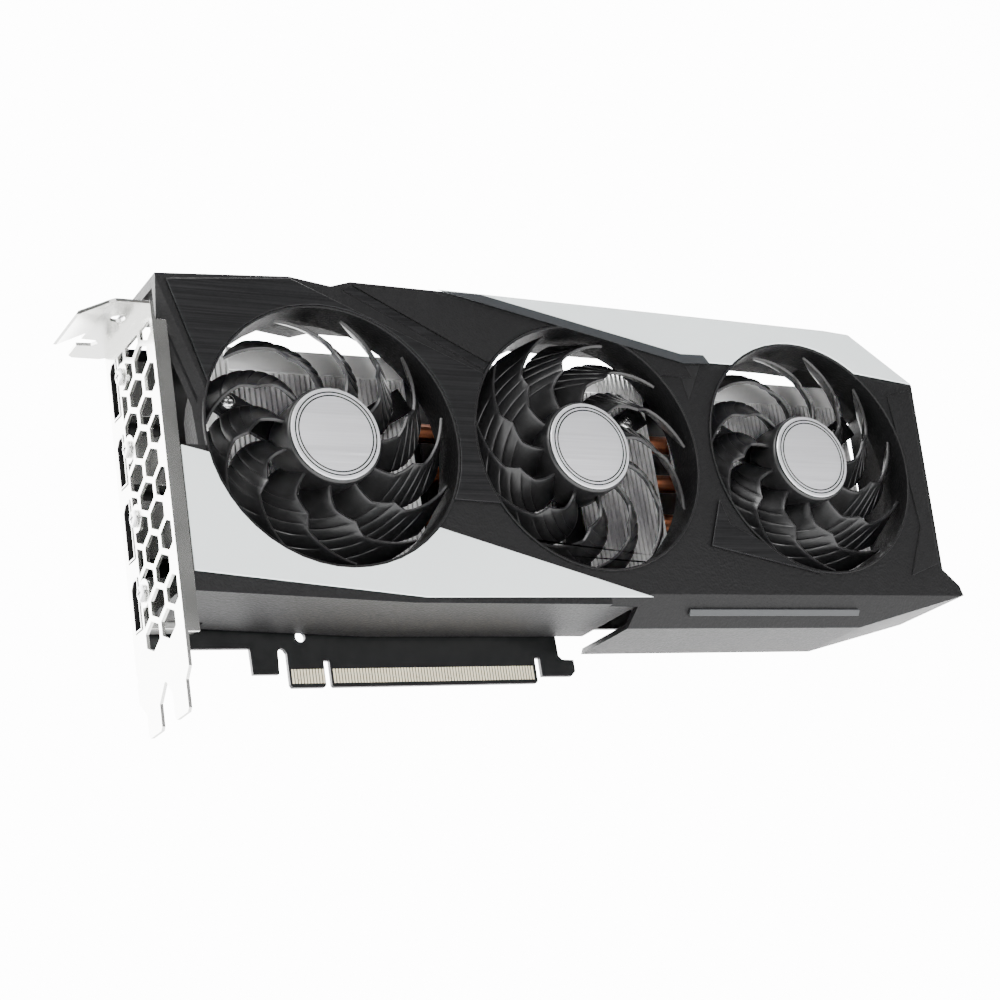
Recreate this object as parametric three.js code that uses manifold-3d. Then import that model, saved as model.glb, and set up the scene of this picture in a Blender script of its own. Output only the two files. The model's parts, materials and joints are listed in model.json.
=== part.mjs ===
// A triple-fan graphics card: board, bracket, heatsink, shroud, backplate and three axial fans.
// Millimetres, +Z up, +X from the bracket towards the tail, and -Y out of the fan face.
// Shapes are laid out from the bracket's outer face (x = 0), the board's front face (y = 0)
// and the bottom of the edge connector (z = 0). The last lines move the origin to the middle
// of the edge connector's bottom face.
import * as THREE from "three";
import { ConvexGeometry } from "three/addons/geometries/ConvexGeometry.js";
import { mergeVertices } from "three/addons/utils/BufferGeometryUtils.js";
import Module from "manifold-3d";

const wasm = await Module();
wasm.setup();

// Driving dimensions
const GAP = 0.3; // clearance kept between pieces that touch
const BOARD_THICK = 1.6;
const BOARD_TOP = 106;
const BOARD_END = 205;
const EDGE_START = 47.2; // near end of the edge connector
const EDGE_LENGTH = 85.2;
const KEY_START = EDGE_START + 11.65; // key notch between the short and the long contacts
const KEY_WIDTH = 1.9;
const SLOT_PITCH = 20.32; // one expansion slot
const BRACKET_WIDTH = 38.74;
const BRACKET_THICK = 1.0;
const BRACKET_TOP = 103.6;
const TONGUE_BOTTOM = -15.4;
const TONGUE_WIDTH = 10.2;
const FAN_X = [53.6, 141.5, 229.4];
const FAN_Z = 65.8;
const FAN_NAMES = ["left", "centre", "right"];
const OPENING_R = 40.3;
const BLADE_TIP_R = 39.0;
const BLADES = 11;
const HUB_R = 15.2;
const BADGE_R = 14.3;
const FACE_Y = -37.0; // front plane of the shroud
const WALL = 1.8;
const BADGE_Y = -38.0;
const FIN_FRONT = -19.2;
const FIN_BACK = -10.7;
const FIN_PITCH = 3;
const FIN_THICK = 0.6;
const SHROUD_BACK = -3.0;
const PLATE_FRONT = 3.2; // inner face of the backplate
const PLATE_THICK = 1.2;
const PIPE_R = 3.0;

// Colours and finishes
const finish = (color, roughness, metalness) =>
  new THREE.MeshStandardMaterial({ color, roughness, metalness });
const BLACK_PLASTIC = finish(0x1c1c1d, 0.6, 0);
const BRUSHED_BLACK = finish(0x2b2b2c, 0.4, 0.3);
const SILVER_PAINT = finish(0xc9d1d1, 0.3, 0.4);
const STEEL = finish(0xd6d6d4, 0.25, 1);
const ALUMINIUM = finish(0xb9bab8, 0.35, 1);
const COPPER = finish(0xb06a42, 0.3, 1);
const BOARD_BLACK = finish(0x111111, 0.5, 0);
const CHIP_BLACK = finish(0x18181a, 0.4, 0);
const LIGHT_GREY = finish(0x6f7274, 0.4, 0);
const GOLD = finish(0xc9a44c, 0.3, 1);

// A mesh's geometry as a solid that can be cut and joined, and back again
function solid(geometry) {
  const bare = geometry.index ? geometry.toNonIndexed() : geometry.clone();
  bare.deleteAttribute("normal");
  bare.deleteAttribute("uv");
  const merged = mergeVertices(bare, 1e-3);
  return new wasm.Manifold(
    new wasm.Mesh({
      numProp: 3,
      vertProperties: merged.attributes.position.array,
      triVerts: new Uint32Array(merged.index.array),
    }),
  );
}

function geometryOf(manifold) {
  const mesh = manifold.getMesh();
  const geometry = new THREE.BufferGeometry();
  geometry.setAttribute("position", new THREE.BufferAttribute(mesh.vertProperties, 3));
  geometry.setIndex(new THREE.BufferAttribute(mesh.triVerts, 1));
  return geometry;
}

const join = (...solids) => solids.reduce((a, b) => a.add(b));
const cut = (base, ...tools) => tools.reduce((a, b) => a.subtract(b), base);

// A plate with an outline in X and Z, between two Y planes
function plateY(outline, low, high) {
  const shape = new THREE.Shape(outline.map(([x, z]) => new THREE.Vector2(x, z)));
  const geometry = new THREE.ExtrudeGeometry(shape, { depth: high - low, bevelEnabled: false });
  geometry.rotateX(Math.PI / 2);
  geometry.translate(0, high, 0);
  return solid(geometry);
}

// A plate with an outline in Y and Z, between two X planes
function plateX(outline, low, high) {
  const shape = new THREE.Shape(outline.map(([y, z]) => new THREE.Vector2(y, z)));
  const geometry = new THREE.ExtrudeGeometry(shape, { depth: high - low, bevelEnabled: false });
  geometry.rotateY(Math.PI / 2); // shape x to -z
  geometry.rotateX(Math.PI / 2); // shape y to z, and -z to y
  geometry.translate(low, 0, 0);
  return solid(geometry);
}

function box(x0, x1, y0, y1, z0, z1) {
  const geometry = new THREE.BoxGeometry(x1 - x0, y1 - y0, z1 - z0);
  geometry.translate((x0 + x1) / 2, (y0 + y1) / 2, (z0 + z1) / 2);
  return solid(geometry);
}

// A cylinder along Y around (x, z)
function rodY(x, z, radius, low, high, sides = 32) {
  const geometry = new THREE.CylinderGeometry(radius, radius, high - low, sides);
  geometry.translate(x, (low + high) / 2, z);
  return solid(geometry);
}

// A cylinder along X around (y, z)
function rodX(y, z, radius, low, high, sides = 24) {
  const geometry = new THREE.CylinderGeometry(radius, radius, high - low, sides);
  geometry.rotateZ(Math.PI / 2);
  geometry.translate((low + high) / 2, y, z);
  return solid(geometry);
}

const card = new THREE.Group();
function node(name, manifold, material) {
  const mesh = new THREE.Mesh(geometryOf(manifold), material);
  mesh.name = name;
  card.add(mesh);
}

// Printed circuit board: a foot and a lock tab either side of the edge connector, and the key notch
function makeBoard() {
  const edgeEnd = EDGE_START + EDGE_LENGTH;
  const underside = 12.1;
  const notchTop = 8.2;
  const lockX = edgeEnd + 1.9;
  const outline = [
    [1.4, underside], [35.5, underside], [35.7, 4.2], [44.1, 4.2], [44.4, 11.2], [45.4, 12.2], [46.4, 11.8],
    [EDGE_START, 10.6], [EDGE_START, 1], [EDGE_START + 0.6, 0], [KEY_START - 0.6, 0], [KEY_START, 0.6],
    [KEY_START, notchTop], [KEY_START + KEY_WIDTH, notchTop], [KEY_START + KEY_WIDTH, 0.6],
    [KEY_START + KEY_WIDTH + 0.6, 0], [edgeEnd - 0.6, 0], [edgeEnd, 0.6], [edgeEnd, notchTop],
    [lockX, notchTop], [lockX, 2.2], [lockX + 11, 2.1], [lockX + 12.6, 3.6], [lockX + 12.6, 7.4],
    [lockX + 8.4, 7.6],
    [lockX + 7.2, 8.8], [lockX + 7, 17.7], [BOARD_END, 17.7], [BOARD_END, BOARD_TOP], [1.4, BOARD_TOP],
  ];
  const board = plateY(outline, 0, BOARD_THICK);
  return cut(board, rodY(52.2, 15.6, 1.6, -1, 3, 16));
}

// Slot bracket: vented plate, two tongues, the screw tab folded outwards and a stiffening flange
function makeBracket() {
  const far = 0.3;
  const near = far - BRACKET_WIDTH;
  const tongueA = -4.9;
  const tongueB = tongueA - SLOT_PITCH;
  const outline = [
    [far, BRACKET_TOP], [far, 4.2], [far - 0.9, 3.4], [far - 0.9, 2.4], [far, 1.6], [far, -3.9],
    [tongueA, -8.4],
    [tongueA, TONGUE_BOTTOM + 1], [tongueA - 1, TONGUE_BOTTOM], [tongueA - TONGUE_WIDTH + 1, TONGUE_BOTTOM],
    [tongueA - TONGUE_WIDTH, TONGUE_BOTTOM + 1], [tongueA - TONGUE_WIDTH, -8], [-20.2, -3.2], [-21.4, -3.4],
    [tongueB, -7.8], [tongueB, TONGUE_BOTTOM + 1], [tongueB - 1, TONGUE_BOTTOM],
    [tongueB - TONGUE_WIDTH + 1, TONGUE_BOTTOM], [tongueB - TONGUE_WIDTH, TONGUE_BOTTOM + 1],
    [tongueB - TONGUE_WIDTH, -6.6], [near, -3.6], [near, BRACKET_TOP],
  ];
  const plate = plateX(outline, 0, BRACKET_THICK);
  const flange = box(BRACKET_THICK - 0.2, 4.4, near, near + BRACKET_THICK, 6, 98);
  const tab = plateTab();
  return cut(join(plate, flange, tab), ...ventCutters(), ...socketCutters());
}

// The tab has a screw notch and a hole, and its outer lip slopes down
function plateTab() {
  const outline = [
    [0.5, -38.4], [-10, -38.4], [-11.4, -37], [-11.4, -12], [-7, -11.6], [-5.6, -9.6], [-7, -7.6],
    [-11.4, -7.2],
    [-11.4, 0], [-10, 1.4], [-1.5, 1.4], [0.5, 0.3],
  ];
  const shape = new THREE.Shape(outline.map(([x, y]) => new THREE.Vector2(x, y)));
  const geometry = new THREE.ExtrudeGeometry(shape, { depth: BRACKET_THICK, bevelEnabled: false });
  geometry.translate(0, 0, BRACKET_TOP - BRACKET_THICK);
  const hole = new THREE.CylinderGeometry(2.2, 2.2, 4, 20);
  hole.rotateX(Math.PI / 2);
  hole.translate(-5.6, -27, BRACKET_TOP);
  const lipSide = [
    [-11.3, BRACKET_TOP], [-20.8, BRACKET_TOP - 4.2], [-21.5, BRACKET_TOP - 5.2], [-20.6, BRACKET_TOP - 5.3],
    [-11.4, BRACKET_TOP - BRACKET_THICK], [-11.3, BRACKET_TOP - BRACKET_THICK],
  ];
  return join(cut(solid(geometry), solid(hole)), plateY(lipSide, -37, -16));
}

// Honeycomb vents: staggered rows of wide six-sided cells, stopped short of the edges and screws
const VENT_PITCH = 12.4;
const VENT_ROW = 7.85;
const VENT_LOWEST = 11.5;
function ventCutters() {
  const cells = [];
  for (let row = 0; row < 12; row++) {
    const z = VENT_LOWEST + row * VENT_ROW;
    const first = row % 2 ? -33.6 : -27.4;
    for (let y = first; y < -8; y += VENT_PITCH) {
      const sides = [-5.2, 5.2].map((side) => [[y + side, z - side / 2.5], [y + side, z + side / 2.5]]);
      const corners = [sides[0][1], [y, z - 4.4], sides[1][0], sides[1][1], [y, z + 4.4], sides[0][0]];
      cells.push(plateX(corners, -1, 2));
    }
  }
  const keepNear = box(-2, 3, -45, -36.6, 0, 110);
  const keepFar = box(-2, 3, -9.6, 5, 0, 110);
  const keepTop = box(-2, 3, -45, 5, 98.6, 110);
  const aroundScrews = SCREW_PLACES.map(([y, z]) => rodX(y, z, 4.2, -2, 3, 16));
  return [cut(join(...cells), keepNear, keepFar, keepTop, ...aroundScrews)];
}

// Display sockets: place along Z, and the opening's half height
const SOCKET_Y = -5.3;
const SOCKETS = [
  { name: "display_socket_1", z: 89.6, tall: 17.6, deep: 5.6 },
  { name: "video_socket_1", z: 67.0, tall: 15.2, deep: 5.4 },
  { name: "display_socket_2", z: 45.6, tall: 17.6, deep: 5.6 },
  { name: "video_socket_2", z: 23.4, tall: 15.2, deep: 5.4 },
];
const SCREW_PLACES = [[-11.4, 91.5], [-11.4, 68.8], [-11.4, 47.6], [-11.4, 25.2]];
const SOCKET_BACK = 17;

function socketOutline({ z, tall, deep }, inset) {
  const y0 = SOCKET_Y + deep / 2 - inset;
  const y1 = SOCKET_Y - deep / 2 + inset;
  const z0 = z - tall / 2 + inset;
  const z1 = z + tall / 2 - inset;
  const chamfer = 1.8;
  return [[y0, z0], [y0, z1 - chamfer], [y0 - chamfer, z1], [y1, z1], [y1, z0]];
}

const socketCutters = () => SOCKETS.map((s) => plateX(socketOutline(s, -GAP), -1, 2));

function makeSockets() {
  for (const s of SOCKETS) {
    const cavity = plateX(socketOutline(s, 0.5), -1, SOCKET_BACK - 1);
    const shell = cut(plateX(socketOutline(s, 0), -0.3, SOCKET_BACK), cavity);
    node(s.name + "_shell", shell, STEEL);
    const reach = s.tall / 2 - 3;
    const blade = box(2, SOCKET_BACK - 1 - GAP, SOCKET_Y - 0.7, SOCKET_Y + 0.7, s.z - reach, s.z + reach);
    const base = plateX(socketOutline(s, 0.5 + GAP), SOCKET_BACK - 5, SOCKET_BACK - 1 - GAP);
    node(s.name + "_contact_block", join(blade, base), CHIP_BLACK);
  }
}

// Pan-head screws that hold the sockets to the bracket
function makeBracketScrews() {
  SCREW_PLACES.forEach(([y, z], i) => {
    node(`bracket_screw_${i + 1}`, rodX(y, z, 2.6, -1.4, -GAP, 16), STEEL);
  });
}

// Shroud: one moulded shell, open at the back, with three round fan openings
const SHROUD_OUTLINE = [
  [3, 113.4], [45.3, 115.9], [58.7, 113.9], [65.5, 115.9], [94, 115.9], [165, 114.6], [246, 113.4],
  [256.7, 112.7], [281.3, 95], [276.5, 27], [282.4, 21.2], [283.4, 17.7], [240, 8.3], [148, 8.3],
  [150.6, 14.2], [72, 14.6], [3, 18],
];
const SHROUD_MIDDLE = [140, 64];
function insetOutline(outline, distance) {
  const [cx, cz] = SHROUD_MIDDLE;
  const widthShare = 1 - distance / 140;
  const heightShare = 1 - distance / 50;
  return outline.map(([x, z]) => [cx + (x - cx) * widthShare, cz + (z - cz) * heightShare]);
}

// The sloped facet at the bracket's end, and its wall when it is moved back by the wall thickness
function endFacet(back) {
  const y = FACE_Y - 0.1 + back;
  const front = [[2.9, y, 113], [15.2, y, 76.6], [16.2, y, 60.8], [2.9, y, 60.8]];
  const corners = [...front, [2.9, y + 10, 68], [2.9, y + 10, 60.8]];
  return solid(new ConvexGeometry(corners.map((corner) => new THREE.Vector3(...corner))));
}

// The chamfer along the tail's lower front edge
const CHAMFER_TOP = 17.6;
function chamferPoint(along, out) {
  return [FACE_Y + 0.546 * along - 0.838 * out, CHAMFER_TOP - 0.838 * along - 0.546 * out];
}
function tailChamfer(back) {
  const [y, z] = chamferPoint(-2, 0);
  const [y2, z2] = chamferPoint(14, 0);
  const corners = [[y + back, z], [y2 + back, z2], [y2 - 16 + back, z2 - 4], [y - 16 + back, z]];
  return plateX(corners, 140, 290);
}

function facetBacking() {
  const inside = plateY(SHROUD_OUTLINE, FACE_Y, FACE_Y + 16);
  const backing = join(endFacet(WALL * 1.3), tailChamfer(WALL * 1.9));
  return inside.intersect(backing);
}

function makeShroud() {
  const shell = plateY(SHROUD_OUTLINE, FACE_Y, SHROUD_BACK);
  const pocket = plateY(insetOutline(SHROUD_OUTLINE, WALL), FACE_Y + WALL, SHROUD_BACK + 1);
  const openings = FAN_X.map((x) => rodY(x, FAN_Z, OPENING_R, FACE_Y - 1, FACE_Y + WALL + 1, 48));
  const fanSpaces = FAN_X.map((x) => rodY(x, FAN_Z, OPENING_R, FACE_Y - 1, FACE_Y + 18, 48));
  const ducts = FAN_X.map((x) => {
    const outside = rodY(x, FAN_Z, OPENING_R + WALL, FACE_Y + 0.5, FACE_Y + 12, 48);
    return cut(outside, rodY(x, FAN_Z, OPENING_R, FACE_Y, FACE_Y + 13, 48));
  });
  const bracketEnd = box(0, 12, FACE_Y + WALL + 1.4, SHROUD_BACK + 1, 19.8, 110);
  const socketSpace = box(0, SOCKET_BACK + 1, -9, SHROUD_BACK + 1, 12, 30);
  const plugNotch = box(183, 207, -13, SHROUD_BACK + 1, 105, 118);
  const bodyWithDucts = join(cut(shell, pocket, ...openings), ...ducts);
  const faceted = cut(join(bodyWithDucts, cut(facetBacking(), ...fanSpaces)), endFacet(0), tailChamfer(0));
  return cut(faceted, bracketEnd, socketSpace, plugNotch);
}

// Trim panels let into the shroud's face, proud of it by their own thickness
function makePanels() {
  const under = FACE_Y - GAP;
  const front = under - 0.7;
  const openings = FAN_X.map((x) => rodY(x, FAN_Z, OPENING_R + 0.8, FACE_Y - 3, FACE_Y, 48));
  const lower = [[5, 60.3], [17.1, 57.5], [83.2, 37.6], [155.2, 16.4], [76, 16], [5, 23.4]];
  const upper = [
    [95, 115.6], [165, 114.2], [246, 113], [256.5, 112.2], [280.6, 94.9], [256, 97.5], [194, 97.5],
    [184, 97],
  ];
  const brushed = [
    [6, 111.5], [45, 115], [66, 106], [106.6, 88.2],
    [107, 45.8], [90, 46.5], [30, 50], [17.2, 61], [16.2, 76.6],
  ];
  const sliver = [[187.5, 49.5], [181, 33.5], [224, 24.5], [190, 41]];
  node("silver_panel_lower", cut(plateY(lower, front, under), ...openings), SILVER_PAINT);
  node("silver_panel_upper", cut(plateY(upper, front, under), ...openings), SILVER_PAINT);
  const brushedPanel = cut(plateY(brushed, front, under), plateY(lower, front - 1, under + 1), ...openings);
  node("brushed_panel", brushedPanel.decompose().sort((a, b) => b.volume() - a.volume())[0], BRUSHED_BLACK);
  node("brushed_sliver", cut(plateY(sliver, front, under), ...openings), BRUSHED_BLACK);
  const strip = [chamferPoint(4.6, GAP), chamferPoint(6.8, GAP), chamferPoint(6.8, 1), chamferPoint(4.6, 1)];
  node("edge_light_strip", plateX(strip, 170, 238), LIGHT_GREY);
}

// One fan blade from the hub to the tip: a curved, twisted closed sheet
function bladeGeometry() {
  const stations = 4;
  const chordPoints = 3;
  const thick = 1.1;
  const points = [];
  for (const side of [0, 1]) {
    for (let i = 0; i <= stations; i++) {
      const t = i / stations;
      const r = HUB_R - 1 + t * (BLADE_TIP_R - HUB_R + 1);
      const sweep = -0.2 + 0.8 * t * t;
      const span = 0.43;
      for (let j = 0; j <= chordPoints; j++) {
        const c = j / chordPoints;
        const angle = sweep - span * (c - 0.5);
        const depth = -34.4 + 8.6 * c + 1.2 * Math.sin(Math.PI * c) + side * thick;
        points.push([r * Math.cos(angle), depth, r * Math.sin(angle)]);
      }
    }
  }
  const row = chordPoints + 1;
  const sheet = (stations + 1) * row;
  const at = (s, i, j) => s * sheet + i * row + j;
  const index = [];
  const quad = (a, b, c, d) => index.push(a, c, b, a, d, c);
  for (let i = 0; i < stations; i++) {
    for (let j = 0; j < chordPoints; j++) {
      quad(at(0, i, j), at(0, i + 1, j), at(0, i + 1, j + 1), at(0, i, j + 1));
      quad(at(1, i, j), at(1, i, j + 1), at(1, i + 1, j + 1), at(1, i + 1, j));
    }
    quad(at(0, i, 0), at(1, i, 0), at(1, i + 1, 0), at(0, i + 1, 0));
    quad(at(0, i, chordPoints), at(0, i + 1, chordPoints), at(1, i + 1, chordPoints), at(1, i, chordPoints));
  }
  for (let j = 0; j < chordPoints; j++) {
    quad(at(0, 0, j), at(0, 0, j + 1), at(1, 0, j + 1), at(1, 0, j));
    quad(at(0, stations, j), at(1, stations, j), at(1, stations, j + 1), at(0, stations, j + 1));
  }
  const geometry = new THREE.BufferGeometry();
  geometry.setAttribute("position", new THREE.Float32BufferAttribute(points.flat(), 3));
  geometry.setIndex(index);
  return geometry;
}

// Rotor: a hub cup, open at the back, with its blades. The centre fan is the mirror image.
function makeRotor(mirrored) {
  const cup = cut(rodY(0, 0, HUB_R, FACE_Y - 0.2, -23, 36), rodY(0, 0, HUB_R - 1.6, FACE_Y + 1.6, -22, 36));
  const post = rodY(0, 0, 2.6, FACE_Y + 1, FACE_Y + 3.4, 16);
  let rotor = join(cup, post);
  for (let i = 0; i < BLADES; i++) {
    const blade = bladeGeometry();
    if (mirrored) mirrorX(blade);
    blade.rotateY((i * 2 * Math.PI) / BLADES);
    rotor = rotor.add(solid(blade));
  }
  const hollow = rodY(0, 0, HUB_R - 1.6, FACE_Y + 3.4, -22, 36);
  return cut(rotor, hollow, rodY(0, 0, 1.2 + GAP, FACE_Y + 2, -22, 16));
}

function mirrorX(geometry) {
  geometry.scale(-1, 1, 1);
  const index = geometry.index.array;
  for (let i = 0; i < index.length; i += 3) [index[i + 1], index[i + 2]] = [index[i + 2], index[i + 1]];
}

function makeFan(name, x, mirrored) {
  const place = (s) => s.translate([x, 0, FAN_Z]);
  node(`fan_rotor_${name}`, place(makeRotor(mirrored)), BLACK_PLASTIC);
  node(`fan_badge_${name}`, place(rodY(0, 0, BADGE_R, BADGE_Y, FACE_Y - 0.2 - GAP, 36)), ALUMINIUM);
  node(`fan_shaft_${name}`, place(rodY(0, 0, 1.2, FACE_Y + 2 + GAP, -23.4, 12)), STEEL);
  const magnet = cut(rodY(0, 0, HUB_R - 2.2, -33, -23.6, 24), rodY(0, 0, HUB_R - 3.4, -34, -22, 24));
  node(`fan_magnet_ring_${name}`, place(magnet), CHIP_BLACK);
  const stator = cut(rodY(0, 0, 10.6, -32, -22.2 + GAP, 24), rodY(0, 0, 1.2 + 0.4, -33, -22.8, 12));
  node(`fan_stator_${name}`, place(stator), COPPER);
  node(`fan_mount_${name}`, place(makeMount()), BLACK_PLASTIC);
}

// Fan mount: a plate under the motor with three arms that reach the heatsink's screw posts
function makeMount() {
  const thick = 1.6;
  const back = FIN_FRONT - GAP;
  let mount = rodY(0, 0, 13, back - thick, back, 32);
  for (let i = 0; i < 3; i++) {
    const angle = Math.PI / 2 + (i * 2 * Math.PI) / 3;
    const arm = new THREE.BoxGeometry(30, thick, 8);
    arm.translate(24, back - thick / 2, 0);
    arm.rotateY(angle);
    mount = mount.add(solid(arm));
    const post = rodY(30 * Math.cos(angle), -30 * Math.sin(angle), 3, back - thick - 1, back, 16);
    mount = mount.add(post);
  }
  return mount;
}

// Heatsink: fins in a row on a thin back web that lies along the heatpipes
function makeFinStack(x0, x1, z0, z1) {
  const count = Math.floor((x1 - x0) / FIN_PITCH);
  const outline = [[x0, FIN_BACK], [x0, FIN_BACK - 1.2]];
  const web = FIN_BACK - 1.2;
  for (let i = 0; i < count; i++) {
    const x = x0 + (i + 0.5) * FIN_PITCH;
    outline.push([x, web], [x, FIN_FRONT], [x + FIN_THICK, FIN_FRONT], [x + FIN_THICK, web]);
  }
  const end = x0 + (count + 0.5) * FIN_PITCH;
  outline.push([end, web], [end, FIN_BACK]);
  const shape = new THREE.Shape(outline.map(([x, y]) => new THREE.Vector2(x, y)));
  const geometry = new THREE.ExtrudeGeometry(shape, { depth: z1 - z0, bevelEnabled: false });
  geometry.translate(0, 0, z0);
  return solid(geometry);
}

const PIPE_Z = [52, 66, 80];
const PIPE_Y = -7.4;
function makeHeatsink() {
  const stacks = [["left", 24, 92], ["centre", 103, 181], ["right", 191, 266]];
  for (const [name, x0, x1] of stacks)
    node(`fin_stack_${name}`, makeFinStack(x0, x1, 22, 100), ALUMINIUM);
  PIPE_Z.forEach((z, i) => node(`heatpipe_${i + 1}`, rodX(PIPE_Y, z, PIPE_R, 27, 264, 16), COPPER));
  node("cold_plate", box(118, 156, -4.1, -2.4, 48, 84), COPPER);
}

// Parts soldered to the board's front face
function makeBoardParts() {
  node("gpu_package", box(120, 154, -1.4, -GAP, 49, 83), CHIP_BLACK);
  node("gpu_die", box(129, 145, -2.1, -1.7, 57, 75), LIGHT_GREY);
  const spots = [[102, 54], [102, 70], [122, 32], [140, 32], [160, 54], [160, 70]];
  spots.forEach(([x, z], i) => {
    node(`memory_chip_${i + 1}`, box(x, x + 12, -1.4, -GAP, z, z + 12), CHIP_BLACK);
  });
  const socket = cut(box(186, 204, -10.5, -GAP, 95, 111.5), box(187.2, 202.8, -9.3, -1.5, 100, 113));
  node("power_socket", socket, CHIP_BLACK);
}

function makeBackplate() {
  const outline = [
    [4, 107], [4, 22], [140, 20], [146, 24], [262, 24], [276, 34], [280, 92], [256, 110], [230, 110],
    [222, 104], [60, 104], [54, 107],
  ];
  let plate = plateY(outline, PLATE_FRONT, PLATE_FRONT + PLATE_THICK);
  const slots = [0, 1, 2, 3, 4, 5].map((i) => box(216 + i * 8, 220 + i * 8, 0, 8, 44, 86));
  const screwHoles = COOLER_SCREWS.map(([x, z]) => rodY(x, z, 3, 0, 8, 16));
  plate = cut(plate, ...slots, ...screwHoles);
  node("backplate", plate, BRUSHED_BLACK);
}

// Sprung cooler screws around the processor, standing in holes of the backplate
const COOLER_SCREWS = [[108, 40], [166, 40], [108, 92], [166, 92]];
function makeCoolerScrews() {
  COOLER_SCREWS.forEach(([x, z], i) => {
    const head = rodY(x, z, 2.5, BOARD_THICK + GAP, PLATE_FRONT + PLATE_THICK - 0.1, 16);
    node(`cooler_screw_${i + 1}`, head, STEEL);
  });
}

node("board", makeBoard(), BOARD_BLACK);
node("bracket", makeBracket(), STEEL);
makeSockets();
makeBracketScrews();
makeBoardParts();
makeHeatsink();
node("shroud", makeShroud(), BLACK_PLASTIC);
makePanels();
FAN_X.forEach((x, i) => makeFan(FAN_NAMES[i], x, i === 1));
makeBackplate();
makeCoolerScrews();

card.position.set(-(EDGE_START + EDGE_LENGTH / 2), -BOARD_THICK / 2, 0);
const root = new THREE.Group();
root.add(card);
export default root;
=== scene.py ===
# %% [markdown]
# # A graphics card with three fans
# This lesson dresses a plain CAD model of a graphics card. The CAD has every piece in its place and
# at its size, but plain and sharp-edged. Here each piece gets a real surface, and the fine shapes
# that the CAD leaves out are modelled: ridged blades, thin fins, gold contacts and screws.
# Lengths are in millimetres from the bracket's face, the board's front and the bottom of the edge
# connector, as the card's maker would write them.

import json
import math

import bmesh
import bpy
from mathutils import Matrix, Vector


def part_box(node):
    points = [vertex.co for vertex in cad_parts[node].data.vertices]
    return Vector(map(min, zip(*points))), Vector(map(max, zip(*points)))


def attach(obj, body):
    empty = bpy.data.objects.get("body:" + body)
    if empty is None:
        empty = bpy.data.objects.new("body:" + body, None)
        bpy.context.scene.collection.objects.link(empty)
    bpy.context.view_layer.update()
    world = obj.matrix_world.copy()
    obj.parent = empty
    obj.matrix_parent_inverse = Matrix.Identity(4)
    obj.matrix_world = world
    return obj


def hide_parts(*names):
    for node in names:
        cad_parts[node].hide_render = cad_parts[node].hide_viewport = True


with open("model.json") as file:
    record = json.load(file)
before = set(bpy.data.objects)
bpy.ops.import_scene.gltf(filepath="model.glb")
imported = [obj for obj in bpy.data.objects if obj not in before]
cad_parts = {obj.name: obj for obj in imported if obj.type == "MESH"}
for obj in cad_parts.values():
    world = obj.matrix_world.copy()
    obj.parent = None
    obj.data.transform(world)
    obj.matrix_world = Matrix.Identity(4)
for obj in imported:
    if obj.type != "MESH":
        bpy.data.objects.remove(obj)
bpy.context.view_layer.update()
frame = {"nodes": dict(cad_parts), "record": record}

MM = 0.001
ORIGIN = Vector((89.8, 0.8, 0.0))  # the scene's origin, in the maker's millimetres
FAN_NAMES = ("left", "centre", "right")
FAN_X = (53.6, 141.5, 229.4)
FAN_Z = 65.8
SOCKETS = (  # name, height of its middle, contacts in a row
    ("display_socket_1", 89.6, 10),
    ("video_socket_1", 67.0, 8),
    ("display_socket_2", 45.6, 10),
    ("video_socket_2", 23.4, 8),
)


def place(x, y, z):
    """A point given in the maker's millimetres."""
    return (Vector((x, y, z)) - ORIGIN) * MM


print("CAD pieces:", len(frame["nodes"]))

# %% [markdown]
# ## Materials
# A surface is a Principled shader with the colour and roughness of the real finish. Patterns are
# built from nodes, and every pattern reads Object coordinates, so it stays on its piece when the
# piece turns. An image could do this too, but nodes keep each pattern's real size in view.

# %% Nodes and colours
def linear(code):
    """A hex colour as linear light, which is what a shader reads."""
    channels = [int(code[i : i + 2], 16) / 255 for i in (1, 3, 5)]
    light = [c / 12.92 if c <= 0.04045 else ((c + 0.055) / 1.055) ** 2.4 for c in channels]
    return light + [1.0]


def add(owner, kind, links=(), **settings):
    """Adds a node to a material or a world, with its settings and the links into it."""
    node = owner.node_tree.nodes.new(kind)
    for key, value in settings.items():
        if hasattr(node, key):
            setattr(node, key, value)
        else:
            node.inputs[key.replace("_", " ")].default_value = value
    for name, source in dict(links).items():
        owner.node_tree.links.new(source, node.inputs[name])
    return node


def surface(name, colour, roughness, metallic=0.0, coat=0.0, specular=0.5):
    material = bpy.data.materials.new(name)
    material.use_nodes = True
    shader = material.node_tree.nodes["Principled BSDF"]
    shader.inputs["Base Color"].default_value = linear(colour)
    shader.inputs["Roughness"].default_value = roughness
    shader.inputs["Metallic"].default_value = metallic
    shader.inputs["Coat Weight"].default_value = coat
    shader.inputs["Specular IOR Level"].default_value = specular
    return material, shader


def bumped(material, shader, height, strength, distance):
    bump = add(
        material, "ShaderNodeBump", {"Height": height}, Strength=strength, Distance=distance
    )
    material.node_tree.links.new(bump.outputs["Normal"], shader.inputs["Normal"])


def varied_roughness(material, shader, pattern, low, high):
    spread = add(material, "ShaderNodeMapRange", {"Value": pattern}, To_Min=low, To_Max=high)
    material.node_tree.links.new(spread.outputs["Result"], shader.inputs["Roughness"])


# %% [markdown]
# Moulded plastic keeps the fine pits of its mould, and rolled or plated metal is a little uneven.
# Both are a noise with a grain size, which moves the roughness and, on plastic, raises the surface.
# A mould's real pits are about 0.2 mm, too fine to show at this size, so they are drawn at 0.8 mm.

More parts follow.
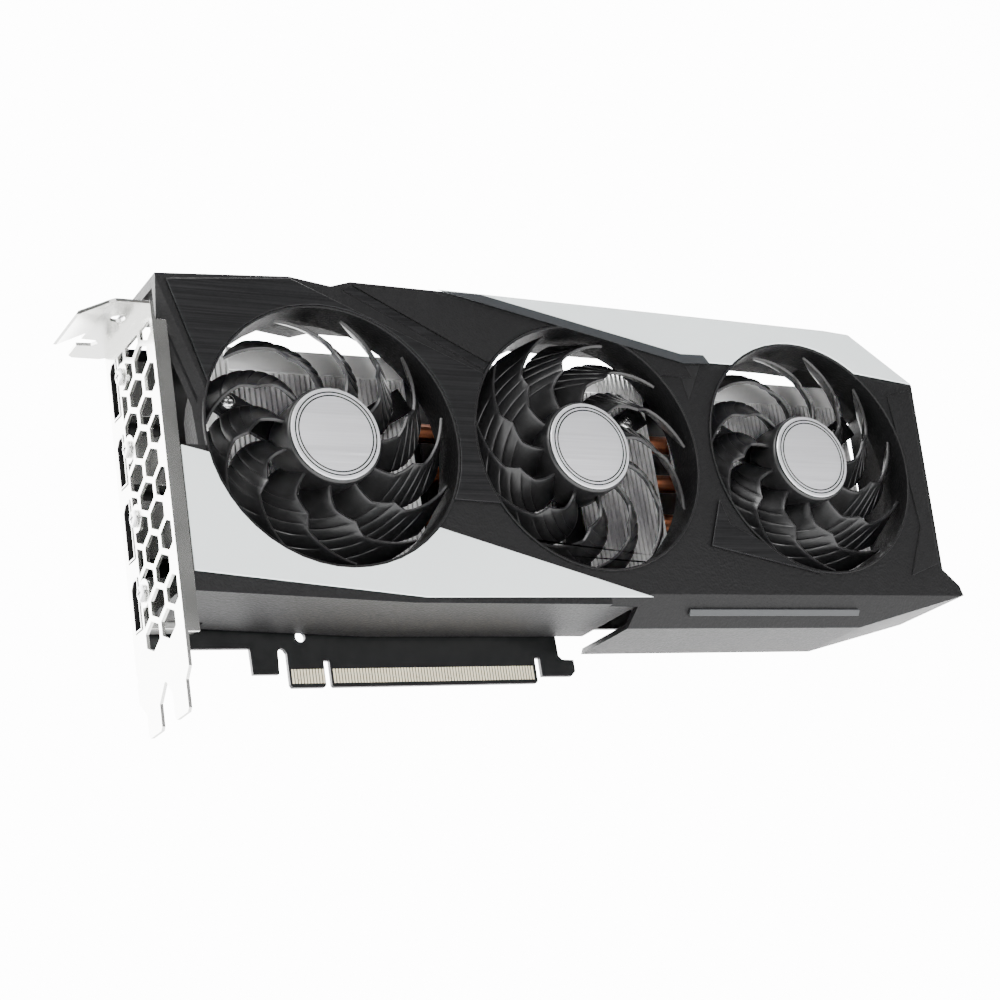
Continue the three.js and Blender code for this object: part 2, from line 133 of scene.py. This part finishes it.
# %% A grained surface
def grained(name, colour, roughness, grain_mm, strength, **finish):
    material, shader = surface(name, colour, roughness, **finish)
    where = add(material, "ShaderNodeTexCoord").outputs["Object"]
    scale = 1000 / grain_mm
    grain = add(material, "ShaderNodeTexNoise", {"Vector": where}, Scale=scale, Detail=2.0)
    if strength:
        bumped(material, shader, grain.outputs["Fac"], strength, 0.0002)
    varied_roughness(material, shader, grain.outputs["Fac"], roughness - 0.08, roughness + 0.1)
    return material


# %% [markdown]
# A brushed sheet or film has long scratches that all run one way. Light spreads across them and
# stays sharp along them, so the piece shows pale streaks. The noise is stretched to 40 mm along the
# scratches and shrunk across them. Real ones are under 0.1 mm apart, and are drawn wider to show.

# %% A brushed surface
def brushed(name, colour, roughness, metallic, turn, line_mm, strength, contrast, specular=0.5):
    material, shader = surface(name, colour, roughness, metallic, specular=specular)
    across = 1000 / line_mm
    along = 1000 / 40
    where = add(material, "ShaderNodeTexCoord").outputs["Object"]
    grid = add(
        material, "ShaderNodeMapping", {"Vector": where},
        Rotation=(0, turn, 0), Scale=(along, across, across),
    )
    lines = add(
        material, "ShaderNodeTexNoise", {"Vector": grid.outputs["Vector"]}, Scale=1.0, Detail=4.0
    ).outputs["Fac"]
    bumped(material, shader, lines, strength, 0.0001)
    varied_roughness(material, shader, lines, roughness - 0.12, roughness + 0.15)
    mix = add(material, "ShaderNodeMix", {"Factor": lines}, data_type="RGBA")
    plain = linear(colour)[:3]
    mix.inputs[6].default_value = [c * (1 - contrast) for c in plain] + [1.0]
    mix.inputs[7].default_value = [min(1, c * (1 + contrast)) for c in plain] + [1.0]
    material.node_tree.links.new(mix.outputs[2], shader.inputs["Base Color"])
    return material


# %% [markdown]
# Each material is named for what the real piece is made of. What it gives the eye:
#
# - Solder resist is a thin dark lacquer with a soft gloss. Textured plastic is darker, and its pits
#   break the highlights up.
# - Silver paint has metal flakes under a clear coat, so it is bright and soft at once.
# - Film and anodised sheet are dark metals with streaks. The badges are the same, but pale.
# - Nickel and zinc give clear reflections, drawn copper a warm dull one, and rolled fins a soft one.
# - The fans are satin plastic, smoother than the shroud, so their ridges catch thin highlights.
#
# The film's streaks slope down across the face, which is what its turn of -0.35 radians does.

# %% The materials, by slot
MATERIALS = {
    "board_black": grained("solder_resist_on_glass_fibre", "#08090a", 0.35, 4.0, 0.15, specular=0.28),
    "bright_steel": grained("nickel_plated_steel_sheet", "#e9e9e6", 0.24, 30.0, 0.0, metallic=1.0),
    "matte_black_plastic": grained("textured_moulded_abs", "#060607", 0.52, 0.8, 0.9, specular=0.28),
    "silver_panel": grained(
        "silver_metallic_paint_on_abs", "#eef5f5", 0.36, 60.0, 0.0, metallic=0.35, coat=0.3
    ),
    "brushed_black": brushed(
        "black_hairline_film_on_abs", "#232324", 0.36, metallic=0.6, turn=-0.35,
        line_mm=0.5, strength=0.5, contrast=0.7, specular=0.28,
    ),
    "backplate_black": brushed(
        "black_anodised_aluminium", "#161617", 0.4, metallic=0.7, turn=0.0,
        line_mm=0.35, strength=0.35, contrast=0.5,
    ),
    "grey_diffuser": grained("milky_polycarbonate", "#2b2d2f", 0.35, 2.0, 0.0),
    "copper": grained("drawn_copper", "#83523a", 0.38, 3.0, 0.05, metallic=1.0),
    "chip_black": grained("moulded_epoxy", "#1a1a1c", 0.45, 1.0, 0.2),
    "die_silicon": grained("polished_silicon", "#6c6f75", 0.1, 5.0, 0.02),
    "socket_black": grained("moulded_nylon", "#0e0e0f", 0.4, 1.0, 0.15),
    "screw_steel": grained("zinc_plated_steel", "#cfcfcf", 0.25, 2.0, 0.05, metallic=1.0),
    "fin_aluminium": grained("rolled_aluminium_sheet", "#fbfbfa", 0.42, 9.0, 0.0, metallic=0.6),
    "fan_plastic": grained("satin_moulded_pbt", "#101011", 0.36, 1.0, 0.1),
    "badge_aluminium": brushed(
        "brushed_aluminium", "#dcdce0", 0.36, metallic=0.7, turn=0.0,
        line_mm=0.5, strength=0.15, contrast=0.14,
    ),
    "magnet_rubber": grained("bonded_ferrite", "#151515", 0.6, 1.0, 0.2),
}
GOLD = grained("gold_plated_copper", "#fdf1d2", 0.3, 2.0, 0.0, metallic=0.4)
print("materials:", len(MATERIALS) + 1)

# %% Paint on the CAD pieces
record = frame["record"]
slot_of = {entry["node"]: entry["material_slot"] for entry in record["subparts"]}


def paint_with(piece, slot):
    piece.data.materials.clear()
    piece.data.materials.append(MATERIALS[slot])


for name, node in frame["nodes"].items():
    paint_with(node, slot_of[name])

# %% [markdown]
# ## Helpers for the fine pieces
# An operator acts on all that is selected, so each step starts with one piece selected alone. A
# modifier is applied at once, because the piece has to be a finished mesh.

# %% Selecting, modifying and finishing
def deselect_all():
    bpy.ops.object.select_all(action="DESELECT")


def alone(piece):
    deselect_all()
    piece.select_set(True)
    bpy.context.view_layer.objects.active = piece


def apply_modifier(piece, kind, **settings):
    alone(piece)
    modifier = piece.modifiers.new(kind.title(), kind)
    for key, value in settings.items():
        setattr(modifier, key, value)
    bpy.ops.object.modifier_apply(modifier=modifier.name)


def smooth(piece, degrees=35):
    alone(piece)
    bpy.ops.object.shade_smooth_by_angle(angle=math.radians(degrees))


def finished(piece, slot, body="card", bevel=0.0):
    """Breaks the edges, shades and paints a piece, and lets it ride on its body.

    Weighted normals keep the large flat faces flat, and leave the shading's turn to the bevels.
    """
    if bevel:
        apply_modifier(piece, "BEVEL", width=bevel * MM, segments=2, limit_method="ANGLE")
    smooth(piece)
    if bevel:
        apply_modifier(piece, "WEIGHTED_NORMAL", keep_sharp=True, weight=90)
    paint_with(piece, slot)
    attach(piece, body)
    return piece


def finished_in_gold(piece):
    smooth(piece)
    piece.data.materials.clear()
    piece.data.materials.append(GOLD)
    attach(piece, "card")


def settle(piece):
    """Puts the place, turn and size of a new piece into its mesh."""
    alone(piece)
    bpy.ops.object.transform_apply(location=True, rotation=True, scale=True)


# %% [markdown]
# A piece that differs from its CAD node only at its edges is a copy of the node. The CAD mesh is
# loose triangles, so the copy is merged, and its flat faces are made whole before the bevel.

# %% A copy of a CAD piece with its edges broken
WELD = 0.000005
FLAT_WITHIN = math.radians(1)


def body_of_node(node_name):
    bodies = record["behaviour"]["bodies"]
    return next(body for body, members in bodies.items() if node_name in members)


def softened(node_name, bevel, new_name):
    source = frame["nodes"][node_name]
    piece = bpy.data.objects.new(new_name, source.data.copy())
    bpy.context.scene.collection.objects.link(piece)
    alone(piece)
    bpy.ops.object.mode_set(mode="EDIT")
    bpy.ops.mesh.select_all(action="SELECT")
    bpy.ops.mesh.remove_doubles(threshold=WELD)
    bpy.ops.mesh.dissolve_limited(angle_limit=FLAT_WITHIN)
    bpy.ops.object.mode_set(mode="OBJECT")
    finished(piece, slot_of[node_name], body_of_node(node_name), bevel)
    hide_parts(node_name)
    return piece


# %% [markdown]
# A new piece starts as a plane or a cube. Round ones are a profile in edit mode that is spun round
# an axis. Its doubles are merged and its normals turned out, because Spin can leave them inwards.

# %% Round pieces, blocks and rows
def emptied_plane(name, location):
    """A plane with its points deleted, and its edit mesh, ready for new points."""
    deselect_all()
    bpy.ops.mesh.primitive_plane_add(size=MM, location=location)
    piece = bpy.context.object
    piece.name = name
    settle(piece)
    bpy.ops.object.mode_set(mode="EDIT")
    bpy.ops.mesh.delete(type="VERT")
    return piece, bmesh.from_edit_mesh(piece.data)


def turned(name, profile, a, z, y_axis=True, steps=64):
    """A profile of (radius, depth) spun round an axis along Y at x = a, or along X at y = a."""
    start = place(a, 0, z) if y_axis else place(0, a, z)
    piece, edit = emptied_plane(name, start)
    row = []
    for radius, depth in profile:
        point = place(a + radius, depth, z) if y_axis else place(depth, a, z + radius)
        row.append(edit.verts.new(point))
    for one, following in zip(row, row[1:]):
        edit.edges.new((one, following))
    bmesh.update_edit_mesh(piece.data)
    bpy.ops.mesh.select_all(action="SELECT")
    axis = (0, 1, 0) if y_axis else (1, 0, 0)
    bpy.ops.mesh.spin(steps=steps, angle=2 * math.pi, center=start, axis=axis)
    bpy.ops.mesh.select_all(action="SELECT")
    bpy.ops.mesh.remove_doubles(threshold=0.000002)
    bpy.ops.mesh.normals_make_consistent(inside=False)
    bpy.ops.object.mode_set(mode="OBJECT")
    return piece


def block(name, x0, x1, y0, y1, z0, z1):
    deselect_all()
    centre = place((x0 + x1) / 2, (y0 + y1) / 2, (z0 + z1) / 2)
    bpy.ops.mesh.primitive_cube_add(size=1, location=centre)
    piece = bpy.context.object
    piece.name = name
    piece.scale = ((x1 - x0) * MM, (y1 - y0) * MM, (z1 - z0) * MM)
    settle(piece)
    return piece


def joined(name, pieces):
    deselect_all()
    for piece in pieces:
        piece.select_set(True)
    bpy.context.view_layer.objects.active = pieces[0]
    bpy.ops.object.join()
    pieces[0].name = name
    return pieces[0]


def repeated(piece, count, step):
    offset = [distance * MM for distance in step]
    apply_modifier(
        piece, "ARRAY", count=count, use_relative_offset=False,
        use_constant_offset=True, constant_offset_displace=offset,
    )
    return piece


def cut_with(piece, tool):
    apply_modifier(piece, "BOOLEAN", object=tool, operation="DIFFERENCE", solver="EXACT")
    bpy.data.objects.remove(tool)


# %% [markdown]
# ## Camera, light and floor
# The camera stands in front of the bracket's end and a little below the card, looking up along it.
# Four soft lamps stand for studio boxes: a key in front, one at the bracket's end, a long low one
# that draws a line under the edges, and one above.

# %% Camera
CAMERA_AT = (-207.8, -539.7, -145.6)
CAMERA_LOOKS = Vector((0.5035, 0.8068, 0.3092)).normalized()
CAMERA_RIGHT = Vector((0.8636, -0.4813, -0.1502)).normalized()
camera_up = CAMERA_RIGHT.cross(CAMERA_LOOKS).normalized()
camera_right = CAMERA_LOOKS.cross(camera_up).normalized()
camera_data = bpy.data.cameras.new("camera")
camera_data.lens = 74.5
camera_data.sensor_width = 36.0
camera_data.clip_start = 0.01
camera = bpy.data.objects.new("camera", camera_data)
bpy.context.scene.collection.objects.link(camera)
facing = Matrix((camera_right, camera_up, -CAMERA_LOOKS)).transposed().to_4x4()
camera.matrix_world = Matrix.Translation(place(*CAMERA_AT)) @ facing
bpy.context.scene.camera = camera
print("camera at", [round(value, 3) for value in camera.matrix_world.translation])

# %% Lamps
LAMPS = (  # name, place, what it points at, size, watts
    ("key", (-0.5, -0.9, 0.9), (0, 0, 0.06), (0.9, 0.5), 24),
    ("side", (-1.1, -0.1, 0.3), (0, 0, 0.06), (0.5, 0.9), 9),
    ("low", (0.4, -1.2, -0.1), (0.05, 0, 0.06), (1.4, 0.08), 9),
    ("top", (0.2, 0.1, 1.1), (0.1, 0, 0.1), (1.0, 0.4), 10),
)
for name, at, target, size, power in LAMPS:
    lamp = bpy.data.lights.new(name, "AREA")
    lamp.shape = "RECTANGLE"
    lamp.size, lamp.size_y = size
    lamp.energy = power
    holder = bpy.data.objects.new(name, lamp)
    bpy.context.scene.collection.objects.link(holder)
    holder.location = at
    holder.rotation_euler = (Vector(target) - Vector(at)).to_track_quat("-Z", "Y").to_euler()

# %% [markdown]
# The backdrop is a bright white wall behind the card that fades to dark in front of it, so that the
# black faces stay black. It fades below the horizon too, where the floor takes over.

# %% Backdrop and floor
world = bpy.data.worlds.new("studio")
bpy.context.scene.world = world
world.use_nodes = True
ahead = add(world, "ShaderNodeTexCoord").outputs["Generated"]
split = add(world, "ShaderNodeSeparateXYZ", {"Vector": ahead})
wall = add(
    world, "ShaderNodeMapRange", {"Value": split.outputs["Y"]},
    From_Min=-0.2, From_Max=0.6, To_Min=0.12, To_Max=14.0,
)
horizon = add(
    world, "ShaderNodeMapRange", {"Value": split.outputs["Z"]},
    From_Min=-0.3, From_Max=0.03, To_Min=0.1,
)
glow = add(world, "ShaderNodeMath", operation="MULTIPLY")
background = world.node_tree.nodes["Background"]
background.inputs["Color"].default_value = (1, 1, 1, 1)
world.node_tree.links.new(wall.outputs["Result"], glow.inputs[0])
world.node_tree.links.new(horizon.outputs["Result"], glow.inputs[1])
world.node_tree.links.new(glow.outputs[0], background.inputs["Strength"])

deselect_all()
bpy.ops.mesh.primitive_plane_add(size=6, location=(0, 0, -0.42))
floor = bpy.context.object
floor.name = "studio_floor"
floor_paint, floor_shader = surface("pale_paper", "#cfcfcf", 0.9)
floor.data.materials.append(floor_paint)

# %% [markdown]
# ## Shroud, trim and sheet metal
# Moulded and pressed edges are never sharp: a break of a few tenths catches a thin line of light.
# Thick mouldings get a wider break than thin sheet.

# %% Pieces with broken edges
EDGE_BREAKS = (  # CAD node, width of the break, new name
    ("shroud", 0.5, "shroud_moulding"),
    ("silver_panel_lower", 0.25, "silver_trim_lower"),
    ("silver_panel_upper", 0.25, "silver_trim_upper"),
    ("brushed_panel", 0.25, "hairline_trim"),
    ("brushed_sliver", 0.25, "hairline_trim_small"),
    ("edge_light_strip", 0.2, "light_strip"),
    ("bracket", 0.15, "slot_bracket"),
    ("backplate", 0.25, "rear_plate"),
    ("board", 0.1, "circuit_board_edge"),
    ("power_socket", 0.3, "power_socket_housing"),
)
for node_name, bevel, new_name in EDGE_BREAKS:
    softened(node_name, bevel, new_name)
print("softened:", len(EDGE_BREAKS))

# %% [markdown]
# A display socket is a bright steel can. The same mesh takes a second, black material on the faces
# that lie inside the can's wall: at the back it is the socket's black housing, and on the inner
# walls it is painted shade, where the recess is in shadow.

# %% Display sockets
CAN_WALL = 0.4 * MM
MOUTH_RIM = 0.1 * MM


# Paints the faces inside the can black: the black housing at the back, and painted shade on the steel
# inner walls.
def black_housing_and_shade_inside(can, low, high):
    can.data.materials.append(MATERIALS["socket_black"])
    for face in can.data.polygons:
        x, y, z = face.center
        inside = low[1] + CAN_WALL < y < high[1] - CAN_WALL
        inside = inside and low[2] + CAN_WALL < z < high[2] - CAN_WALL
        if inside and x > low[0] + MOUTH_RIM:
            face.material_index = 1


for socket, middle, contacts in SOCKETS:
    can = softened(socket + "_shell", 0.12, socket + "_can")
    black_housing_and_shade_inside(can, *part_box(socket + "_shell"))
    softened(socket + "_contact_block", 0.15, socket + "_tongue")

# %% Fan mounts
for fan in FAN_NAMES:
    softened("fan_mount_" + fan, 0.3, "fan_spider_" + fan)

# %% [markdown]
# Each opening has a rolled lip, a little proud of the face, which shows as a thin bright circle. It
# is a profile spun round the fan's axis.

# %% Opening lips
LIP_IN, LIP_OUT = 40.25, 41.0
LIP_PROFILE = [
    (LIP_IN, -36.5), (LIP_IN, -37.5), (40.45, -37.75), (40.8, -37.8),
    (LIP_OUT, -37.6), (LIP_OUT, -37.1), (LIP_OUT, -36.5), (LIP_IN, -36.5),
]
for fan, x in zip(FAN_NAMES, FAN_X):
    lip = turned("opening_lip_" + fan, LIP_PROFILE, x, FAN_Z, steps=96)
    finished(lip, "matte_black_plastic")

# %% [markdown]
# ## Fans
# A blade is a thin sheet that sweeps forward and is pitched, so it goes from the front to the back
# of the rotor. It has raised ridges round it that steady the air, and a small winglet at the
# middle of its front edge. A grid is laid along that shape and thickened. A sculpted blade would
# look the same, but a formula keeps the ridges round the axis, as a turned mould would have them.

# %% The shape of a blade
BLADES = 11
HUB_RADIUS = 15.2
TIP_RADIUS = 38.9
FRONT_DEPTH = -34.2
PITCH_DEPTH = 8.8
CAMBER = 1.2
SWEEP = 0.8
BLADE_ANGLE = 0.38
FIRST_RIDGE, RIDGE_STEP, RIDGES, RIDGE_HEIGHT = 21.5, 2.6, 5, 0.55
WINGLET_DEPTH, WINGLET_ANGLE, WINGLET_REACH = 1.2, 0.1, 0.17
BLADE_THICKNESS = 0.9


def blade_point(along, across):
    """along runs from the hub to the tip, across from the front edge to the back, both 0 to 1."""
    radius = HUB_RADIUS - 1 + along * (TIP_RADIUS - HUB_RADIUS + 1)
    winglet = max(0.0, 1 - abs(along - 0.5) / WINGLET_REACH) * (1 - across) ** 5
    angle = -0.2 + SWEEP * along * along - BLADE_ANGLE * (across - 0.5) + WINGLET_ANGLE * winglet
    depth = FRONT_DEPTH + PITCH_DEPTH * across + CAMBER * math.sin(math.pi * across)
    depth -= WINGLET_DEPTH * winglet
    step = (radius - FIRST_RIDGE) / RIDGE_STEP
    if 0 < step < RIDGES:
        depth += RIDGE_HEIGHT * (step % 1.0) ** 3 * min(1.0, 6 * across)
    return radius * math.cos(angle), depth, radius * math.sin(angle)


def make_blade(x, mirrored):
    deselect_all()
    bpy.ops.mesh.primitive_grid_add(
        x_subdivisions=72, y_subdivisions=12, size=1, location=(0.5, 0.5, 0)
    )
    blade = bpy.context.object
    settle(blade)
    side = -1 if mirrored else 1
    for vertex in blade.data.vertices:
        px, py, pz = blade_point(vertex.co.x, vertex.co.y)
        vertex.co = place(x + side * px, py, FAN_Z + pz)
    apply_modifier(blade, "SOLIDIFY", thickness=BLADE_THICKNESS * MM, offset=0)
    apply_modifier(blade, "BEVEL", width=0.3 * MM, segments=2, limit_method="ANGLE")
    alone(blade)
    bpy.ops.object.mode_set(mode="EDIT")
    bpy.ops.mesh.select_all(action="SELECT")
    bpy.ops.mesh.normals_make_consistent(inside=False)
    bpy.ops.object.mode_set(mode="OBJECT")
    return blade


# %% [markdown]
# The hub is a cup, open at the back, that the motor fills. Its shape is a turned profile. One blade
# is copied round it, each copy with its own mesh, and all are joined into one moulding.

# %% Rotors
HUB_PROFILE = [
    (13.6, -23.2), (HUB_RADIUS, -23.2), (HUB_RADIUS, -36.4), (14.9, -36.9), (14.5, -37.1),
    (0, -37.1), (0, -35.4), (13.2, -35.4), (13.6, -35.0), (13.6, -23.2),
]


def make_rotor(fan, x, mirrored):
    blade = make_blade(x, mirrored)
    blades = [blade]
    to_axis = Matrix.Translation(place(x, 0, FAN_Z))
    for i in range(1, BLADES):
        copy = bpy.data.objects.new("blade", blade.data.copy())
        bpy.context.scene.collection.objects.link(copy)
        round_axis = Matrix.Rotation(i * 2 * math.pi / BLADES, 4, "Y")
        copy.data.transform(to_axis @ round_axis @ to_axis.inverted())
        blades.append(copy)
    hub = turned("hub", HUB_PROFILE, x, FAN_Z)
    rotor = joined("fan_wheel_" + fan, [hub] + blades)
    finished(rotor, "fan_plastic", "fan_" + fan)
    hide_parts("fan_rotor_" + fan)
    return rotor


# %% [markdown]
# The badge is a brushed disc glued on the hub, with two dark rings printed on it. The rings stand
# a few hundredths proud, because a ring level with the disc would flicker.

# %% Badges
BADGE_PROFILE = [
    (0, -37.5), (0, -37.95), (13.7, -37.95), (14.1, -37.9), (14.3, -37.7), (14.3, -37.5), (0, -37.5),
]
BADGE_RINGS = ((11.7, 12.15), (12.75, 13.2))
RING_BACK, RING_FRONT = -37.9, -37.98


def make_badge(fan, x):
    disc = turned("badge_disc_" + fan, BADGE_PROFILE, x, FAN_Z, steps=96)
    finished(disc, "badge_aluminium", "fan_" + fan)
    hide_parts("fan_badge_" + fan)
    for number, (inner, outer) in enumerate(BADGE_RINGS):
        profile = [
            (inner, RING_BACK), (inner, RING_FRONT), (outer, RING_FRONT), (outer, RING_BACK),
            (inner, RING_BACK),
        ]
        ring = turned(f"badge_ring_{number}_{fan}", profile, x, FAN_Z, steps=96)
        finished(ring, "fan_plastic", "fan_" + fan)


for fan, x in zip(FAN_NAMES, FAN_X):
    rotor = make_rotor(fan, x, mirrored=fan == "centre")
    make_badge(fan, x)
    print(rotor.name, "has", len(rotor.data.polygons), "faces")

# %% [markdown]
# ## Heatsink
# The fins are thin stamped sheets with a folded front edge, and they stand 1.7 mm apart. One is
# made and then repeated. A web behind them stands for the base that they are soldered to, and a
# plain cover closes the top of each pack.

# %% Fin packs and covers
FIN_STEP = 1.7
FIN_THICKNESS = 0.3
FOLD_WIDTH = 0.8
FIN_FRONT, FIN_BACK = -19.1, -10.8
FIN_LOW, FIN_HIGH = 22.2, 99.8
FIN_PACKS = (("left", 24.0, 92.0), ("centre", 103.0, 181.0), ("right", 191.0, 266.0))
FIN_COVERS = (("left", 30.0, 88.0), ("centre", 106.0, 160.0), ("right", 196.0, 262.0))

for fan, x0, x1 in FIN_PACKS:
    start = x0 + 1
    fold_from = start + FIN_THICKNESS
    sheet = block("fin", start, fold_from, FIN_FRONT, FIN_BACK, FIN_LOW, FIN_HIGH)
    fold = block(
        "fold", fold_from, fold_from + FOLD_WIDTH, FIN_FRONT, FIN_FRONT + 0.3, FIN_LOW, FIN_HIGH
    )
    count = int((x1 - x0 - 2) / FIN_STEP)
    fins = repeated(joined("fins_" + fan, [sheet, fold]), count, (FIN_STEP, 0, 0))
    web = block("web", x0 + 0.5, x1 - 0.5, -11.3, -10.75, FIN_LOW, FIN_HIGH)
    stack = joined("fin_pack_" + fan, [fins, web])
    finished(stack, "fin_aluminium")
    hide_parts("fin_stack_" + fan)
    print("fins in the", fan, "pack:", count)

for fan, x0, x1 in FIN_COVERS:
    cover = block("fin_cover_" + fan, x0, x1, -20.4, -19.4, 92.0, 99.5)
    finished(cover, "fin_aluminium", bevel=0.3)

# %% [markdown]
# ## Contacts
# Gold pads stand in rows on both faces of the board's edge, one every millimetre. A short row and a
# long one stand on each side of the key notch. Inside each display socket, gold springs lie on both
# sides of the tongue.

# %% Edge contacts
PAD_WIDTH = 0.7
PAD_LOW, PAD_HIGH = 1.2, 5.6
PAD_ROWS = ((47.9, 11), (61.5, 70))  # where a row starts, and its pads

for face, y0, y1 in (("front", -0.06, 0.02), ("rear", 1.58, 1.66)):
    rows = []
    for start, count in PAD_ROWS:
        pad = block("pad", start, start + PAD_WIDTH, y0, y1, PAD_LOW, PAD_HIGH)
        rows.append(repeated(pad, count, (1, 0, 0)))
    finished_in_gold(joined("edge_contacts_" + face, rows))

# %% Socket springs
SPRING_WIDTH = 0.5
SPRING_FROM, SPRING_TO = 2.4, 11.4

for socket, middle, contacts in SOCKETS:
    rows = []
    for y0, y1 in ((-6.15, -5.95), (-4.65, -4.45)):
        z = middle - contacts / 2
        spring = block("pin", SPRING_FROM, SPRING_TO, y0, y1, z, z + SPRING_WIDTH)
        rows.append(repeated(spring, contacts, (0, 0, 1)))
    finished_in_gold(joined(socket + "_springs", rows))

# %% [markdown]
# ## Creases and raised facets on the face
# The shroud's face is folded like cut stone. A facet is a flat outline, pushed out by a fraction of
# a millimetre, with its edge broken, so that the edge draws the crease. Each outline lists its
# corners along X and Z. A facet that would cross a fan's opening is cut by a disc round that fan.

# %% Facets
FACE = -36.95
FACET_FRONT = -37.5
CLEAR_OPENING = [(0, -40), (41.3, -40), (41.3, -30), (0, -30)]


def facet(name, outline, low, high, slot, bevel=0.0, cut_by=()):
    piece, edit = emptied_plane(name, place(100, low, 60))
    edit.faces.new([edit.verts.new(place(x, low, z)) for x, z in outline])
    bmesh.update_edit_mesh(piece.data)
    bpy.ops.mesh.select_all(action="SELECT")
    push = (0, (high - low) * MM, 0)
    bpy.ops.mesh.extrude_region_move(TRANSFORM_OT_translate={"value": push})
    bpy.ops.mesh.select_all(action="SELECT")
    bpy.ops.mesh.normals_make_consistent(inside=False)
    if bmesh.from_edit_mesh(piece.data).calc_volume(signed=True) < 0:
        bpy.ops.mesh.flip_normals()
    bpy.ops.object.mode_set(mode="OBJECT")
    for x in cut_by:
        cut_with(piece, turned("opening", CLEAR_OPENING, x, FAN_Z, steps=96))
    return finished(piece, slot, bevel=bevel)


facet(
    "facet_ridge", [(66, 114.6), (91, 114.4), (184, 96.4), (186, 92), (108.5, 92.5)],
    FACE, FACET_FRONT, "matte_black_plastic", 0.3, FAN_X[1:2],
)
facet(
    "facet_ridge_bright", [(62, 113.2), (66.5, 114.0), (109, 91.5), (107.4, 89.8)],
    FACE, -37.35, "brushed_black", 0.15,
)
facet(
    "facet_below", [(88, 37.6), (105, 31), (180, 31.5), (222, 23.4), (268, 22.6), (156.5, 18.2)],
    FACE, FACET_FRONT, "matte_black_plastic", 0.3, FAN_X[1:],
)
facet(
    "facet_tail", [(268.8, 90), (279.5, 93), (275, 29), (262, 24.5), (270.6, 42)],
    FACE, FACET_FRONT, "matte_black_plastic", 0.3, FAN_X[2:],
)
facet(
    "trim_bevel_upper",
    [(96, 115.1), (183.5, 96.6), (194, 97.1), (192, 100), (183, 99.8), (110, 115.0)],
    -38.0, -38.15, "grey_diffuser", 0.05,
)
# A painted shadow: a thin black sheet in the notch between the centre and right openings, where shade
# falls.
facet(
    "shadow_wedge", [(181.5, 96), (190.5, 96.6), (183.5, 84)], -36.98, -37.1, "socket_black"
)

# %% [markdown]
# ## Screws
# A pan head with a cross recess is a turned profile, cut by two bars that cross. The head stands
# between the depths back and front, and its recess opens towards front.

# %% One screw
DOME_STEP = 0.25


def cross_screw(name, a, z, radius, back, front, along_x):
    step = DOME_STEP * (1 if front > back else -1)
    profile = [
        (0, back), (radius, back), (radius, front - 2.4 * step), (radius - 0.35, front - step),
        (radius - 0.9, front), (0, front),
    ]
    head = turned(name, profile, a, z, y_axis=not along_x, steps=32)
    low, high = sorted((front - 2.2 * step, front + 4 * step))
    arm, half = radius * 0.52, radius * 0.13
    for across, up in ((arm, half), (half, arm)):
        if along_x:
            bar = block("bar", low, high, a - across, a + across, z - up, z + up)
        else:
            bar = block("bar", a - across, a + across, low, high, z - up, z + up)
        cut_with(head, bar)
    return finished(head, "screw_steel")


# %% All the screws
BRACKET_SCREW_Y = -11.4
BRACKET_SCREW_Z = (91.5, 68.8, 47.6, 25.2)
COOLER_SCREWS = ((108, 40), (166, 40), (108, 92), (166, 92))
MOUNT_SCREW_CIRCLE = 30

for i, z in enumerate(BRACKET_SCREW_Z, 1):
    head = cross_screw(f"bracket_pan_screw_{i}", BRACKET_SCREW_Y, z, 2.6, -0.3, -1.4, True)
    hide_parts(f"bracket_screw_{i}")
for i, (x, z) in enumerate(COOLER_SCREWS, 1):
    head = cross_screw(f"cooler_pan_screw_{i}", x, z, 2.5, 1.9, 4.3, False)
    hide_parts(f"cooler_screw_{i}")
for fan, x in zip(FAN_NAMES, FAN_X):
    for i in range(3):
        angle = math.pi / 2 + i * 2 * math.pi / 3
        screw_x = x + MOUNT_SCREW_CIRCLE * math.cos(angle)
        screw_z = FAN_Z - MOUNT_SCREW_CIRCLE * math.sin(angle)
        cross_screw(f"spider_screw_{fan}_{i + 1}", screw_x, screw_z, 2.3, -22.2, -23.2, False)
